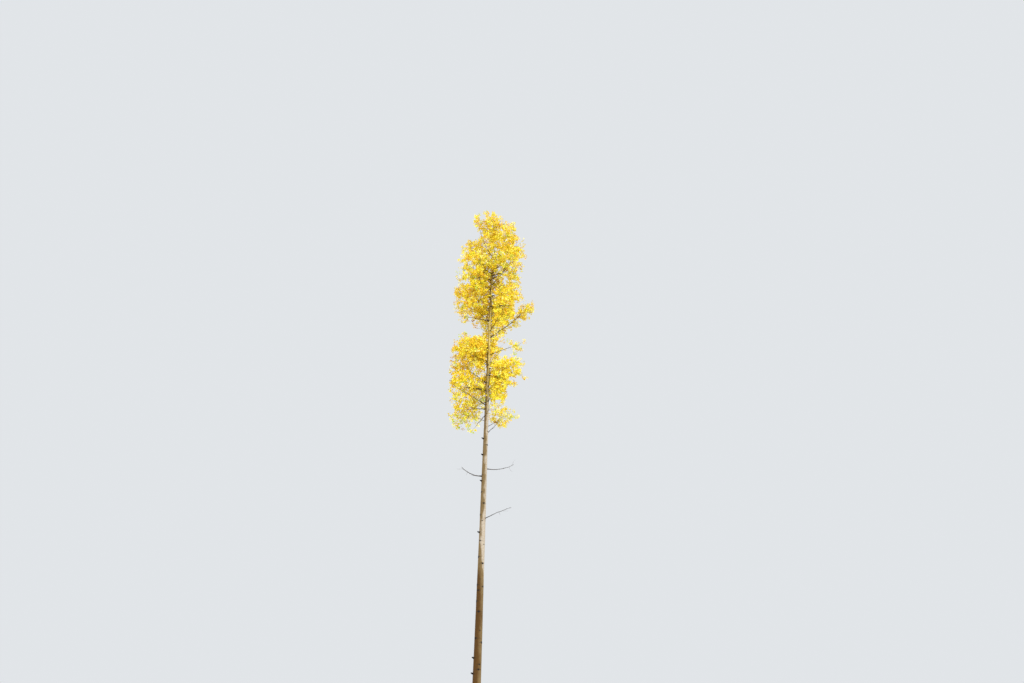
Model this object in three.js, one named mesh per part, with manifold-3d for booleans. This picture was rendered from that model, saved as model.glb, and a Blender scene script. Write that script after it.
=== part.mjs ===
import * as THREE from 'three';
import { mergeVertices } from 'three/addons/utils/BufferGeometryUtils.js';
import Module from 'manifold-3d';

// A quaking aspen, a slender kind of poplar, in its yellow autumn leaf: one tall bare trunk with a narrow
// crown. Sizes are in millimetres and degrees. The trunk's flat cut stands on the origin, +Z is up, +X is
// to the right and +Y points away from the front. A heading turns from right (0) through far (90).

// The trunk
const TRUNK_TIP = 19500;
const TRUNK_RADIUS = 137;
const TAPER_POWER = 0.8;
const TIP_RADIUS = 5;
const TRUNK_SIDES = 12;
const TRUNK_RINGS = 30;
const RING_CROWDING = 1.35;

// The root flare at the foot of the trunk
const FLARE = 48;
const FLARE_HEIGHT = 260;
const FLARE_LOBES = 4;
const LOBE_DEPTH = 0.45;

// The trunk's lean to the right, its kink high in the crown, and its slow sway from near to far
const LEAN_PER_MM = 0.0165;
const KINK = 135;
const KINK_HEIGHT = 17400;
const KINK_SPREAD = 560;
const SWAY = 45;
const SWAY_LENGTH = 15000;

// Gaps that keep neighbouring solids apart
const SEAT_GAP = 0.4;
const BOUGH_GAP = 3;
const MASS_GAP = 15;

// Boughs: their thickness follows their length
const BOUGH_SIDES = 5;
const BOUGH_RINGS = 3;
const BOUGH_RADIUS_PER_LENGTH = 0.0125;
const BOUGH_RADIUS_LEAST = 9;
const BOUGH_TO_TRUNK = 0.55;
const BOUGH_TIP_SHARE = 0.35;

// The bend of a bough, as shares of its reach and rise. A bough that rises more than this share of its
// reach first runs further outwards and lower, and then turns up. The leaves at its end turn up as well.
const BEND_SHARE = 0.5;
const ARCH_SHARE = 0.05;
const STEEP_ABOVE = 0.6;
const STEEP_OUTWARD = 0.25;
const STEEP_LOWER = 0.2;
const LEAF_UPTURN = 0.35;

// Masses of leaves: the lumps on them, and how often the facets of a ball are divided
const LUMPS = 9;
const LUMP_HEIGHT = 0.36;
const LUMP_SHARPNESS = 7;
const FACETS = 2;

// The two masses that wrap the leading shoot, by the height and sideways place of their middles
const LEADER_MASSES = [
  { name: 'leaves_tip', height: 19100, aside: -50, half: [420, 380, 600] },
  { name: 'leaves_leader', height: 17850, aside: -10, half: [680, 600, 1050] },
];

// The leafy boughs that show from the front, from the top of the crown down. Each leaves the trunk at its
// foot height and runs to the middle of its own mass of leaves, given by its reach and its rise above the
// foot. The mass has half sizes along the bough, across it and through it.
const FRONT_BOUGHS = [
  { name: 'top_left', foot: 17400, heading: 195, reach: 760, rise: 1830, half: [430, 220, 200] },
  { name: 'top_outer', foot: 16900, heading: 28, reach: 870, rise: 2270, half: [580, 210, 200] },
  { name: 'top_right', foot: 17000, heading: 322, reach: 570, rise: 1390, half: [600, 320, 300] },
  { name: 'shoulder_left', foot: 16750, heading: 165, reach: 880, rise: 1450, half: [560, 430, 400] },
  { name: 'shoulder_right', foot: 16500, heading: 12, reach: 930, rise: 1500, half: [600, 420, 380] },
  { name: 'upper_right', foot: 16200, heading: 335, reach: 700, rise: 820, half: [660, 620, 560] },
  { name: 'upper_left', foot: 15950, heading: 192, reach: 680, rise: 860, half: [720, 660, 620] },
  { name: 'open_right', foot: 15500, heading: 24, reach: 740, rise: 860, half: [600, 560, 500] },
  { name: 'full_left', foot: 14560, heading: 172, reach: 640, rise: 820, half: [800, 700, 700] },
  { name: 'full_right', foot: 14850, heading: 335, reach: 640, rise: 380, half: [660, 620, 560] },
  { name: 'reaching_right', foot: 13850, heading: 8, reach: 1250, rise: 1180, half: [660, 320, 270] },
  { name: 'thin_right', foot: 13100, heading: 350, reach: 1000, rise: 310, half: [400, 270, 210] },
  { name: 'gold_left', foot: 12650, heading: 194, reach: 690, rise: 400, half: [620, 660, 700] },
  { name: 'low_right', foot: 12350, heading: 345, reach: 680, rise: -60, half: [620, 560, 540] },
  { name: 'low_left', foot: 11690, heading: 185, reach: 700, rise: 100, half: [680, 600, 640] },
  { name: 'last_left', foot: 11250, heading: 160, reach: 800, rise: -300, half: [640, 540, 420] },
  { name: 'last_right', foot: 10280, heading: 22, reach: 640, rise: 430, half: [430, 400, 360] },
];

// The boughs of the near and far sides, one level above another, turned by turns to the left and the right
const SIDE_LEVELS = 4;
const SIDES = [
  { name: 'far', middle: 90, lowest: 11640, reach: 720, turn: 28, half: [680, 640, 640] },
  { name: 'near', middle: 270, lowest: 11190, reach: 780, turn: -37, half: [600, 500, 600] },
];
const LEVEL_STEP = 1450;
const SIDE_RISE = 560;
const TOP_LEVEL_SHARE = 0.86;

// The dead limbs on the bare trunk below the crown. A level one sags a little before it turns up: its bend
// lies at these shares of its reach outwards and downwards.
const DEAD_BOUGHS = [
  { name: 'dead_high_right', foot: 10040, heading: 350, reach: 440, rise: 420, radius: 12 },
  { name: 'dead_long_right', foot: 8810, heading: 12, reach: 1000, rise: 220, radius: 13, level: true },
  { name: 'dead_left', foot: 8550, heading: 190, reach: 760, rise: 275, radius: 18, level: true },
  { name: 'dead_low_right', foot: 7110, heading: 345, reach: 950, rise: 330, radius: 12 },
];
const LEVEL_OUTWARD = 0.62;
const LEVEL_SAG = 0.05;

// Seeds of the lumps, one for each mass, and the factors that scatter a seeded run of numbers
const BOUGH_SEED = 100;
const LEADER_SEED = 11;
const SEED_FACTOR = 12.9898;
const COUNT_FACTOR = 78.233;
const SCATTER = 43758.5453;

const COLOURS = { bark: 0xd9d0bf, bough: 0x8d7d68, dead: 0x6d5c4a, leaves: 0xf2c11c };
const ROUGHNESS = { bark: 0.8, bough: 0.85, leaves: 0.7 };

const wasm = await Module();
wasm.setup();

// A seeded run of numbers from 0 to 1, so that every copy of the tree is the same.
function seeded(seed) {
  let count = 0;
  return () => {
    count += 1;
    const wave = Math.sin(seed * SEED_FACTOR + count * COUNT_FACTOR);
    return THREE.MathUtils.euclideanModulo(wave * SCATTER, 1);
  };
}

// A closed geometry as a solid, and a solid as a geometry.
function solidFrom(geometry) {
  geometry.deleteAttribute('normal');
  geometry.deleteAttribute('uv');
  const merged = mergeVertices(geometry);
  return new wasm.Manifold(new wasm.Mesh({
    numProp: 3,
    vertProperties: merged.getAttribute('position').array,
    triVerts: new Uint32Array(merged.index.array),
  }));
}

function geometryFrom(solid) {
  const mesh = solid.getMesh();
  const geometry = new THREE.BufferGeometry();
  geometry.setAttribute('position', new THREE.BufferAttribute(mesh.vertProperties, 3));
  geometry.setIndex(new THREE.BufferAttribute(mesh.triVerts, 1));
  geometry.computeVertexNormals();
  return geometry;
}

// The largest of the pieces that a cut may leave.
function mainPiece(solid) {
  const pieces = solid.decompose();
  return pieces.reduce((best, piece) => (piece.volume() > best.volume() ? piece : best));
}

function direction(heading) {
  const angle = THREE.MathUtils.degToRad(heading);
  return new THREE.Vector3(Math.cos(angle), Math.sin(angle), 0);
}

// The trunk's centre and radius at a height.
function trunkCentre(height) {
  const kink = KINK * Math.exp(-(((height - KINK_HEIGHT) / KINK_SPREAD) ** 2));
  const sway = SWAY * Math.sin((2 * Math.PI * height) / SWAY_LENGTH);
  return new THREE.Vector3(LEAN_PER_MM * height + kink, sway, height);
}

function trunkRadius(height) {
  const share = Math.max(0, 1 - height / TRUNK_TIP);
  return Math.max(TIP_RADIUS, TRUNK_RADIUS * share ** TAPER_POWER);
}

function flareAt(height, angle) {
  const lobe = 1 + LOBE_DEPTH * Math.cos(FLARE_LOBES * angle);
  return FLARE * Math.exp(-height / FLARE_HEIGHT) * lobe;
}

// Level rings from the flat cut to the tip, crowded towards the foot.
function trunkSolid(gap) {
  const geometry = new THREE.CylinderGeometry(1, 1, 1, TRUNK_SIDES, TRUNK_RINGS);
  const position = geometry.getAttribute('position');
  const point = new THREE.Vector3();
  for (let i = 0; i < position.count; i += 1) {
    point.fromBufferAttribute(position, i);
    const height = TRUNK_TIP * (point.y + 0.5) ** RING_CROWDING;
    const angle = Math.atan2(-point.z, point.x);
    const radius = (trunkRadius(height) + flareAt(height, angle) + gap) * Math.hypot(point.x, point.z);
    const centre = trunkCentre(height);
    position.setXYZ(i, centre.x + radius * Math.cos(angle), centre.y + radius * Math.sin(angle), height);
  }
  return solidFrom(geometry);
}

// A tapering limb along a curve.
function limbSolid(curve, footRadius, tipRadius) {
  const geometry = new THREE.CylinderGeometry(1, 1, 1, BOUGH_SIDES, BOUGH_RINGS);
  const frames = curve.computeFrenetFrames(BOUGH_RINGS, false);
  const position = geometry.getAttribute('position');
  for (let i = 0; i < position.count; i += 1) {
    const ring = Math.round((position.getY(i) + 0.5) * BOUGH_RINGS);
    const radius = THREE.MathUtils.lerp(footRadius, tipRadius, ring / BOUGH_RINGS);
    const point = curve.getPointAt(ring / BOUGH_RINGS);
    point.addScaledVector(frames.normals[ring], radius * position.getX(i));
    point.addScaledVector(frames.binormals[ring], -radius * position.getZ(i));
    position.setXYZ(i, point.x, point.y, point.z);
  }
  return solidFrom(geometry);
}

// A bough leaves the trunk's middle. A steep or level one first runs outwards and then turns up.
function boughCurve({ foot, heading, reach, rise, level }) {
  const start = trunkCentre(foot);
  const outward = direction(heading);
  const steep = THREE.MathUtils.clamp(rise / reach - STEEP_ABOVE, 0, 1);
  const arch = rise * (BEND_SHARE - STEEP_LOWER * steep) + ARCH_SHARE * reach;
  const bend = start.clone();
  bend.addScaledVector(outward, reach * (level ? LEVEL_OUTWARD : BEND_SHARE + STEEP_OUTWARD * steep));
  bend.z += level ? -LEVEL_SAG * reach : arch;
  const end = start.clone().addScaledVector(outward, reach);
  end.z += rise;
  return new THREE.QuadraticBezierCurve3(start, bend, end);
}

// One closed, lumpy mass of leaves: a ball with seeded lumps, brought to its exact half sizes and turned so
// that its first axis runs along the given direction.
function massSolid(half, along, middle, seed, gap) {
  const random = seeded(seed);
  const lumps = Array.from({ length: LUMPS }, () => {
    const around = 2 * Math.PI * random();
    const level = 2 * random() - 1;
    return new THREE.Vector3().setFromCylindricalCoords(Math.sqrt(1 - level * level), around, level);
  });
  const geometry = new THREE.IcosahedronGeometry(1, FACETS);
  const position = geometry.getAttribute('position');
  const point = new THREE.Vector3();
  for (let i = 0; i < position.count; i += 1) {
    point.fromBufferAttribute(position, i);
    const lift = lumps.reduce((sum, lump) => sum + Math.exp(LUMP_SHARPNESS * (point.dot(lump) - 1)), 0);
    point.multiplyScalar(1 + LUMP_HEIGHT * lift);
    position.setXYZ(i, point.x, point.y, point.z);
  }
  geometry.computeBoundingBox();
  const box = geometry.boundingBox;
  const centre = box.getCenter(new THREE.Vector3());
  const size = box.getSize(new THREE.Vector3());
  geometry.translate(-centre.x, -centre.y, -centre.z);
  geometry.scale((2 * half[0] + gap) / size.x, (2 * half[1] + gap) / size.y, (2 * half[2] + gap) / size.z);
  const across = new THREE.Vector3(0, 0, 1).cross(along).normalize();
  const through = along.clone().cross(across);
  geometry.applyMatrix4(new THREE.Matrix4().makeBasis(along, across, through).setPosition(middle));
  return solidFrom(geometry);
}

// The plan of every bough: where it runs, how thick it is, and the mass at its end.
function planned(bough, order) {
  const curve = boughCurve(bough);
  const fullRadius = Math.max(BOUGH_RADIUS_LEAST, BOUGH_RADIUS_PER_LENGTH * curve.getLength());
  const leafyRadius = Math.min(fullRadius, BOUGH_TO_TRUNK * trunkRadius(bough.foot));
  const footRadius = bough.half ? leafyRadius : bough.radius;
  const tipRadius = BOUGH_TIP_SHARE * footRadius;
  return { ...bough, curve, footRadius, tipRadius, seed: BOUGH_SEED + order };
}

function sideBoughs() {
  return SIDES.flatMap((side) => Array.from({ length: SIDE_LEVELS }, (_, level) => {
    const share = level === SIDE_LEVELS - 1 ? TOP_LEVEL_SHARE : 1;
    return {
      name: side.name + '_' + (level + 1),
      foot: side.lowest + LEVEL_STEP * level,
      heading: side.middle + (level % 2 ? side.turn : -side.turn),
      reach: side.reach * share,
      rise: SIDE_RISE,
      half: side.half.map((size) => size * share),
    };
  }));
}

function namedMesh(name, solid, colour, roughness) {
  const material = new THREE.MeshStandardMaterial({ color: colour, roughness, metalness: 0 });
  const mesh = new THREE.Mesh(geometryFrom(solid), material);
  mesh.name = name;
  return mesh;
}

// Build the solids: the boughs are seated on the trunk and end at their own masses, and each mass is cut
// round the trunk, the boughs that pass it and the masses made before it.
const boughs = [...FRONT_BOUGHS, ...sideBoughs(), ...DEAD_BOUGHS].map(planned);
const leafyBoughs = boughs.filter((bough) => bough.half);
const trunkSeat = trunkSolid(SEAT_GAP);
const trunkClearance = trunkSolid(BOUGH_GAP);

const masses = [
  ...LEADER_MASSES.map(({ name, height, aside, half }, order) => ({
    name,
    half,
    along: new THREE.Vector3(1, 0, 0),
    middle: trunkCentre(height).setX(trunkCentre(height).x + aside),
    seed: LEADER_SEED + order,
  })),
  ...leafyBoughs.map(({ name, half, curve, seed }) => ({
    name: 'leaves_' + name,
    bough: name,
    half,
    along: curve.getTangentAt(1).add(new THREE.Vector3(0, 0, LEAF_UPTURN)).normalize(),
    middle: curve.getPointAt(1),
    seed,
  })),
];

const tree = new THREE.Group();
const boughGroup = new THREE.Group();
const leafGroup = new THREE.Group();
tree.add(namedMesh('trunk', trunkSolid(0), COLOURS.bark, ROUGHNESS.bark), boughGroup, leafGroup);

const ownMass = new Map(masses.map((mass) => [mass.bough, mass]));
for (const { name, half, curve, footRadius, tipRadius } of boughs) {
  let solid = limbSolid(curve, footRadius, tipRadius).subtract(trunkSeat);
  if (half) {
    const mass = ownMass.get(name);
    solid = solid.subtract(massSolid(mass.half, mass.along, mass.middle, mass.seed, MASS_GAP));
  }
  const colour = half ? COLOURS.bough : COLOURS.dead;
  boughGroup.add(namedMesh('bough_' + name, mainPiece(solid), colour, ROUGHNESS.bough));
}

const made = [];
for (const { name, bough, half, along, middle, seed } of masses) {
  let solid = massSolid(half, along, middle, seed, 0).subtract(trunkClearance);
  for (const other of boughs.filter((candidate) => candidate.name !== bough)) {
    solid = solid.subtract(limbSolid(other.curve, other.footRadius + BOUGH_GAP, other.tipRadius + BOUGH_GAP));
  }
  for (const neighbour of made) {
    solid = solid.subtract(neighbour);
  }
  made.push(massSolid(half, along, middle, seed, MASS_GAP));
  leafGroup.add(namedMesh(name, mainPiece(solid), COLOURS.leaves, ROUGHNESS.leaves));
}

export default tree;
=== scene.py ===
import math

import bpy
import numpy as np
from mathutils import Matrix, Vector, noise
from mathutils.bvhtree import BVHTree
from numpy.linalg import norm


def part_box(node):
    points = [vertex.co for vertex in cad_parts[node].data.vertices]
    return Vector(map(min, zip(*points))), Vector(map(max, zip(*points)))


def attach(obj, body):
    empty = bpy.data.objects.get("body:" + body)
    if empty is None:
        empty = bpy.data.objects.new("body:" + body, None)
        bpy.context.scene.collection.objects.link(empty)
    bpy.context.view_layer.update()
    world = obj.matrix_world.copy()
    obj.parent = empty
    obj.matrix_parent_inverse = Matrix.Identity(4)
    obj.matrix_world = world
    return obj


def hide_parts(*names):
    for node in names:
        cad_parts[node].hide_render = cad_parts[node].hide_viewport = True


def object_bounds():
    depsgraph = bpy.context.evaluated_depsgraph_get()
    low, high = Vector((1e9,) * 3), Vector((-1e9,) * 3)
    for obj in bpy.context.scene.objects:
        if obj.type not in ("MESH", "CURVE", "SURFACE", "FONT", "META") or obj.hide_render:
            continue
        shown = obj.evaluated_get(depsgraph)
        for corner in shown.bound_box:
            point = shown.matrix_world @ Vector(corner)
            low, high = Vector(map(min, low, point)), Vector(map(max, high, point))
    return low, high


# A quaking aspen, a slender kind of poplar, in yellow autumn leaf. Lengths are in metres and angles in
# degrees. A heading turns from right (0) through far (90), left (180) and near (270).

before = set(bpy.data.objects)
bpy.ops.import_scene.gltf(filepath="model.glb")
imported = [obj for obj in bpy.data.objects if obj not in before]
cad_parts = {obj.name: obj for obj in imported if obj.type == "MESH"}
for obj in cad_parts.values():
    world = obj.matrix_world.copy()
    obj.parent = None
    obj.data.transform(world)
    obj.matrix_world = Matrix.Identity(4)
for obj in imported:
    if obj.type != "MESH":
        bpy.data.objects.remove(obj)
cad_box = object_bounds()

SEED = 20
UP = np.array([0.0, 0.0, 1.0])
GOLDEN_ANGLE = math.pi * (3 - math.sqrt(5))

# The photograph's camera: a level wide lens, tilted up from eye height
IMAGE_WIDTH = 1024
IMAGE_HEIGHT = 683
LENS = 0.024
SENSOR = 0.036
CAMERA_PLACE = np.array([1.07, -22.2, 1.5])
CAMERA_TILT = 28.8
CLIP_END = 500

# The trunk
TRUNK_TIP = 19.5
TRUNK_RADIUS = 0.137
TAPER_POWER = 0.8
TIP_RADIUS = 0.005
FLARE = 0.048
FLARE_HEIGHT = 0.26
FLARE_LOBES = 4
LOBE_DEPTH = 0.45
LEAN = 0.0165
KINK = 0.135
KINK_HEIGHT = 17.4
KINK_SPREAD = 0.56
SWAY = 0.045
SWAY_LENGTH = 15.0

# The mesh of the trunk's bark: its sides, the step between its rings, and the finer rings at each scar
BARK_SIDES = 48
BARK_STEP = 0.05
SCAR_STEP = 0.010
SCAR_SPAN = 0.056
BAKE_STRIPS = 6
BAKE_MARGIN = 0.004
BAKE_END = [(0.0, 0.0), (0.002, 0.0), (0.001, 0.002)]

# How far the trunk is out of round: size, turns, phase for each metre of height, and phase at the ground.
# Then the ridges of its foot: the scale of their noise round it and upwards, their depth and their top
OUT_OF_ROUND = [(0.012, 2, 0.9, 0), (0.008, 3, -1.7, 1), (0.006, 0, 5.3, 0)]
RIDGE_SCALE = (9, 2.2)
RIDGE_DEPTH = 0.014
RIDGES_TOP = 1.6

# Scars of shed boughs that show in the photograph, by height and heading, and the rule for the others
SEEN_SCARS = [
    (9.86, 206), (9.63, 338), (9.28, 209), (8.38, 203), (8.00, 212), (7.62, 285), (7.25, 208), (6.69, 203),
    (6.42, 238), (5.92, 213), (5.72, 300), (5.08, 206), (5.03, 322), (4.92, 240), (4.60, 208), (4.30, 262),
    (3.55, 226), (3.44, 335), (3.02, 202), (2.60, 203), (2.71, 292),
]
SEEN_SCAR_HALF = (0.034, 0.046)
SEEN_SCAR_DEPTH = 0.007
SCAR_GAP = 0.23
SCAR_GAP_SPREAD = 0.16
SCAR_TURN_SPREAD = 0.5
LOWEST_SCAR = 0.75
HIGHEST_SCAR = 12.5
SCAR_HALF = (0.016, 0.034)
SCAR_SHRINK = 0.4
SCAR_DEPTH = (0.003, 0.006)

# The shape of a scar, in half widths: how flat it is, how far it reaches, its rim, its hollow, and the brow
# that hangs over it
SCAR_FLAT = 0.62
SCAR_REACH = 2.3
SCAR_FADE = 0.3
SCAR_WIDER = 1.15
NO_SCAR = 9.0
RIM_PLACE = 1.15
RIM_WIDTH = 0.45
RIM_SHARE = 0.5
HOLLOW_WIDTH = 0.75
BROW_DROP = 0.55
BROW_RISE = 1.25
BROW_WIDTH = 0.4
BROW_REACH = 2.6
BROW_HEIGHT = 0.0012

# The swollen ring round each limb's foot, and the broken stubs in some of the scars
FOOT_SCAR = 2.4
FOOT_SCAR_MOST = 0.046
FOOT_SWELL = 0.004
STUBS = (9.86, 9.28, 8.38, 6.69, 3.02, 2.60)
STUB_RADIUS = 0.030
STUB_LENGTH = (0.060, 0.080)
STUB_OUTLINE = [(0.0, 1.15), (0.35, 0.86), (0.70, 0.72), (0.93, 0.62), (1.0, 0.12)]
STUB_START = 0.9
STUB_RISE = 0.3
STUB_SLANT = 0.4
STUB_SIDES = 8
STUB_SLOT = 1

# How brown the bark is by height on its lit side, partly its own tone and partly painted shade, and how much
# more painted shade its shaded side gets. Then from where to where it turns to the yellowish top, partly
# young bark and partly painted reflection of the leaves, and the height over which the rough foot fades
BROWN_AND_PAINTED_SHADE_BY_HEIGHT = [
    (0.0, 0.50, 0.5), (4.0, 0.52, 0.5), (4.9, 0.48, 0.5), (5.4, 0.30, 0.5), (5.8, 0.08, 0.5),
    (6.3, 0.0, 0.5), (7.0, 0.0, 0.5), (7.5, 0.36, 0.28), (8.7, 0.44, 0.24), (9.8, 0.40, 0.26),
    (10.6, 0.04, 0.5), (14.3, 0.0, 0.5), (15.0, 0.03, 0.5), (15.7, 0.24, 0.5), (19.5, 0.24, 0.5),
]
PAINTED_SHADE_HEADING = 220
PAINTED_SHADE_POWER = 1.6
YOUNG_AND_PAINTED_REFLECTION = (10.6, 12.8)
ROUGH_FOOT = 0.95

# Boughs: their thickness, their curve, and how they go on inside the leaves
BOUGH_RADIUS_PER_LENGTH = 0.0125
BOUGH_RADIUS_LEAST = 0.009
BOUGH_TO_TRUNK = 0.55
BOUGH_TIP_SHARE = 0.35
COLLAR = 0.6
COLLAR_LENGTH = 0.05
BEND_SHARE = 0.5
ARCH_SHARE = 0.05
STEEP_ABOVE = 0.6
STEEP_OUTWARD = 0.25
STEEP_LOWER = 0.2
LEAF_UPTURN = 0.35
BOUGH_POINTS = 60
TAIL_POINTS = 30
TAIL_SHARE = 0.86
LIMB_STEP = 0.028
LIMB_SIDES = 10
LIMB_CROOKED = 0.006
LIMB_END = 0.0016
AXIS_START = 0.35
AXIS_OUTSIDE = 0.05
CROOKED_WAVES = (2, 3.3, 5.1)
CROOKED_FADE = 0.7
KNOT_SIZE = 0.07
KNOT_WAVES = (38, 17)
KNOT_PHASE = 6

# Leafy boughs seen from the front: foot height, heading, reach and rise, and how full of leaves they are
FRONT_BOUGHS = {
    "top_left": (17.40, 195, 0.76, 1.83, 1.0),
    "top_outer": (16.90, 28, 0.87, 2.27, 0.9),
    "top_right": (17.00, 322, 0.57, 1.39, 1.0),
    "shoulder_left": (16.75, 165, 0.88, 1.45, 0.9),
    "shoulder_right": (16.50, 12, 0.93, 1.50, 0.8),
    "upper_right": (16.20, 335, 0.70, 0.82, 0.8),
    "upper_left": (15.95, 192, 0.68, 0.86, 0.9),
    "open_right": (15.50, 24, 0.74, 0.86, 0.75),
    "full_left": (14.56, 172, 0.64, 0.82, 1.0),
    "full_right": (14.85, 335, 0.64, 0.38, 0.95),
    "reaching_right": (13.85, 8, 1.25, 1.18, 0.9),
    "thin_right": (13.10, 350, 1.00, 0.31, 0.5),
    "gold_left": (12.65, 194, 0.69, 0.40, 1.2),
    "low_right": (12.35, 345, 0.68, -0.06, 0.85),
    "low_left": (11.69, 185, 0.70, 0.10, 0.95),
    "last_left": (11.25, 160, 0.80, -0.30, 0.75),
    "last_right": (10.28, 22, 0.64, 0.43, 0.65),
}

# Boughs by rule, on the two sides that show least: middle heading, lowest foot, reach, turn off the middle
# heading, and fullness. Then how full the leader's two masses are
SIDES = {"far": (90, 11.64, 0.72, 28, 0.9), "near": (270, 11.19, 0.78, -37, 0.62)}
SIDE_LEVELS = 4
LEVEL_STEP = 1.45
SIDE_RISE = 0.56
TOP_LEVEL_SHARE = 0.86
LEADERS = {"tip": 1.5, "leader": 0.9}
LEADER_STEP = 0.06
LEADER_GAPS = (0.05, 0.02)

# Dead limbs: foot height, heading, reach, rise, whether level, and radius. Then their few broken twigs
DEAD_BOUGHS = {
    "dead_high_right": (10.04, 350, 0.44, 0.42, False, 0.012),
    "dead_long_right": (8.81, 12, 1.00, 0.22, True, 0.013),
    "dead_left": (8.55, 190, 0.76, 0.275, True, 0.018),
    "dead_low_right": (7.11, 345, 0.95, 0.33, False, 0.012),
}
LEVEL_OUTWARD = 0.62
LEVEL_SAG = 0.05
DEAD_STEP = 0.025
DEAD_CROOKED = 0.008
DEAD_TWIGS = (0.35, 0.92, 6)
DEAD_TWIG_SPREAD = 0.7
DEAD_TWIG_LENGTH = (0.05, 0.26)
DEAD_TWIG_BENDS = (0.4, 0.3)
DEAD_TWIG_UP = 0.5
DEAD_TWIG_SHARE = 0.45
DEAD_TWIG_END = 0.0012
DEAD_TWIG_SIDES = 5

# Slim limbs all the way up the crown, between the boughs. Their kind is their radius, how much thinner they
# get, and their number of sprays
SLIM_LOWEST = 10.5
SLIM_HIGHEST = 17.3
SLIM_STEP = 0.21
SLIM_STEP_SPREAD = (0.6, 1.4)
SLIM_TURN_SPREAD = 20
SLIM_REACH = (0.45, 1.05)
SLIM_SLOPE = (0.15, 0.75)
SLIM_TAPER = 4.0
SLIM_KIND = (0.008, 0.8, (6, 18))
FINE_TIP = 0.85
FINE_TIP_POWER = 5
SLIM_SPREAD = 0.15
SLIM_CLEAR_HEIGHT = 0.28
SLIM_CLEAR_TURN = 35
SLIM_SIDESTEP = 30
SLIM_LINE_STEP = 0.03
SLIM_CROOKED = 0.012
SLIM_BARE = 0.35
SLIM_LIFT = 0.04

# Bare limbs that show in front of the leaves in the photograph: foot height, heading, reach and rise
SEEN_LIMBS = [
    (16.65, 325, 0.66, -0.07), (16.46, 205, 0.95, -0.13), (15.71, 330, 0.89, -0.15),
    (15.21, 325, 1.05, -0.31), (14.56, 200, 1.25, -0.01), (12.83, 215, 0.88, 0.08),
    (12.55, 320, 0.94, -0.26), (12.30, 318, 0.93, -0.46), (11.94, 212, 1.02, 0.41),
    (11.67, 205, 1.19, -0.06), (11.09, 212, 1.28, 0.42), (10.97, 215, 0.96, -0.27),
    (10.79, 220, 0.53, -0.69),
]
SEEN_BOUGHS = ("reaching_right", "thin_right")
SEEN_LIMB_KIND = (0.015, 0.65, (8, 14))
SEEN_LIMB_SHARE = 0.93
SEEN_TRUNK = (10.2, 16.9, 0.1)
SEEN_TRUNK_GAP = 3.2
SEEN_LIMB_GAP = 1.8
SEEN_LIMB_EVERY = 3

# The branching rule in a mass of leaves: sprays by volume and in clumps, long branches that reach for the
# far places, twigs that join every other spray to what has grown, and how thick they are
SPRAYS_PER_VOLUME = 460
VOLUME_POWER = 0.85
SPRAY_SPACING = 0.55
FEATHER = 0.24
FEATHER_FALL = 0.42
INNER_DEPTH = 0.22
INNER_SHARE = 0.5
UNDER_GAP = 0.12
UNDER_SHARE = 0.4
CLUMP_SIZE = 0.24
CLUMP_LEVEL = -0.05
CLUMP_EDGE = 0.22
CLUMP_SHIFT = 50
TRIES = 60
SPRAYS_PER_BRANCH = 13
LEAST_BRANCHES = 4
AXIS_EVERY = 2
PATH_STEPS = 5
CURVE_POINTS = 6
TURN_COST = 0.7
DROOP_COST = 0.6
LEAVE_ALONG = 0.55
LEAVE_SPREAD = 0.12
ARRIVE_UP = 0.35
ARRIVE_SPREAD = 0.22
START_SHARE = 0.4
END_SHARE = 0.35
TWIG_RADIUS = 0.0013
TWIG_END = 0.0006
TWIG_LEAST = 1.2
TWIG_SIDES = 3
YOUNG_TWIG = 0.0024
TUBE_POINT = 2
NEARLY_UPRIGHT = 0.9
PIPE_POWER = 0.42
TWIG_TO_PARENT = 0.8

# Openings of the crown through which the photograph shows sky, in pixels: middle and radius
SKY_WINDOWS = [
    (482, 216, 3.2), (504.5, 214.5, 3.5), (471, 229, 6), (523.5, 230, 6.5), (473.5, 237, 4.2),
    (517.2, 233, 3), (516.5, 243.5, 2.6), (497, 249, 1.6), (521.5, 260, 2.8), (508.2, 261, 2.6),
    (470.5, 262, 2.2), (474.1, 266.8, 2.6), (499.5, 267.7, 2.6), (466, 271, 2), (505.5, 279.5, 3.2),
    (466, 281.5, 3), (524, 280, 3.2), (523.5, 286.5, 3), (483, 296, 1.6), (518, 303.5, 3.6),
    (516.8, 309.5, 3), (526, 302, 2.6), (515, 315.5, 2.2), (510, 320, 2.2), (471, 332, 5),
    (479, 331, 4.5), (500, 345, 3.5), (503, 353, 3.5), (509, 356, 3), (526.5, 370.5, 5.5),
    (477, 383, 1.8), (463, 385, 1.8), (503, 384, 1.8), (511.5, 378.5, 3.4), (519.5, 379.5, 5),
    (510.5, 388.5, 4.6), (512, 398, 6), (524, 392, 11),
]

# Leaves: nearly round blades with a short tip, on long stalks that let them hang and turn
LEAVES_PER_SPRAY = (6, 10)
LEAFY_LENGTH = 0.17
BLADE_LENGTH = (0.038, 0.058)
STALK_LENGTH = (0.022, 0.042)
STALK_WIDTH = 0.0016
BLADE_SIDE = [(0.08, 0.30), (0.34, 0.49), (0.64, 0.41), (0.86, 0.17)]
BLADE_MIDDLE = 0.45
BLADE_FOLD = 0.16
BLADE_CUP = 0.07
BLADE_SIDE_CUP = 0.4
BLADE_TIP_CUP = 1.6
FIRST_LEAF = 0.6

# Which way stalks and blades turn: along the twig or stalk, down or up, and by chance
STALK_ALONG = 0.55
STALK_DROP = 0.15
STALK_SPREAD = 0.25
BLADE_ALONG = 0.75
BLADE_DROP = 0.55
BLADE_SPREAD = 0.45
FACE_UP = 0.5
FOLD_SPREAD = (-0.3, 1.5)

# How far leaves may pass the CAD model's box, and how far inside it the sprays stay
BOX_MARGIN = 0.05
BOX_INSET = 0.04

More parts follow.
